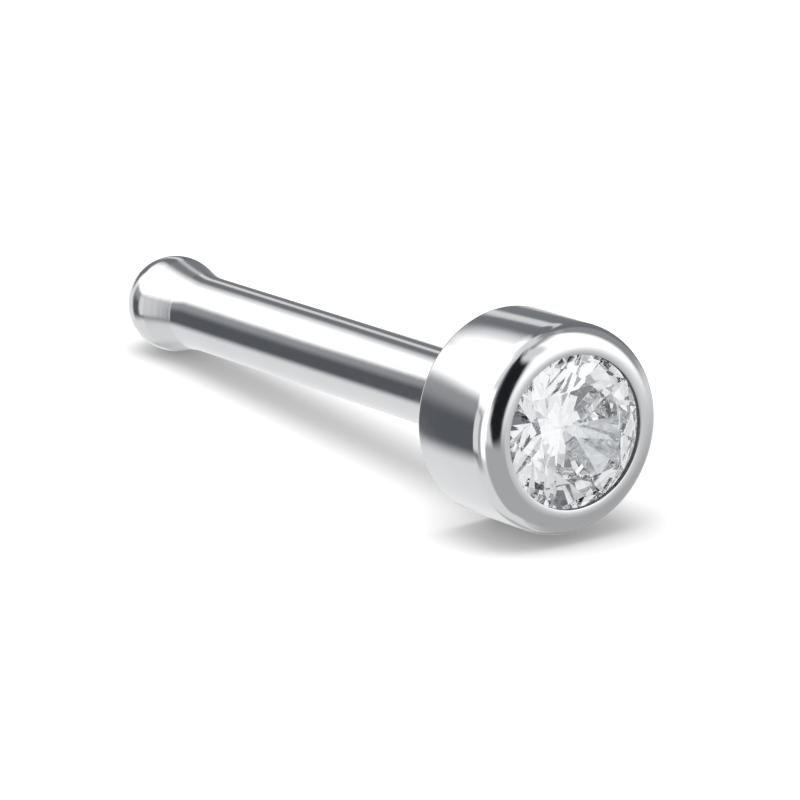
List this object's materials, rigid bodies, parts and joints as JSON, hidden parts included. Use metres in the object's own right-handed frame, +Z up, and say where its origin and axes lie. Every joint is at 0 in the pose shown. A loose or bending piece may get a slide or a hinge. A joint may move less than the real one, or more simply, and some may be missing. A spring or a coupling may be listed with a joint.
{
  "type": "nose stud",
  "caption": "Nose stud: a straight round post with a small ball end and a closed cup setting that holds a clear round brilliant-cut stone.",
  "frame": {"origin": "middle of the base of the whole stud's box, on the surface that it lies on", "axes": "+Z up, -Y towards the end with the stone, +Y towards the ball end, +X to the right seen from the stone's side"},
  "size_m": [0.002, 0.008, 0.0021],
  "materials": {
    "polished_steel": "mirror-polished surgical stainless steel",
    "clear_stone": "clear cubic zirconia, cut and polished as a round brilliant"
  },
  "bodies": {
    "root": {"setting_and_post": "polished_steel", "stone": "clear_stone"}
  },
  "joints": []
}
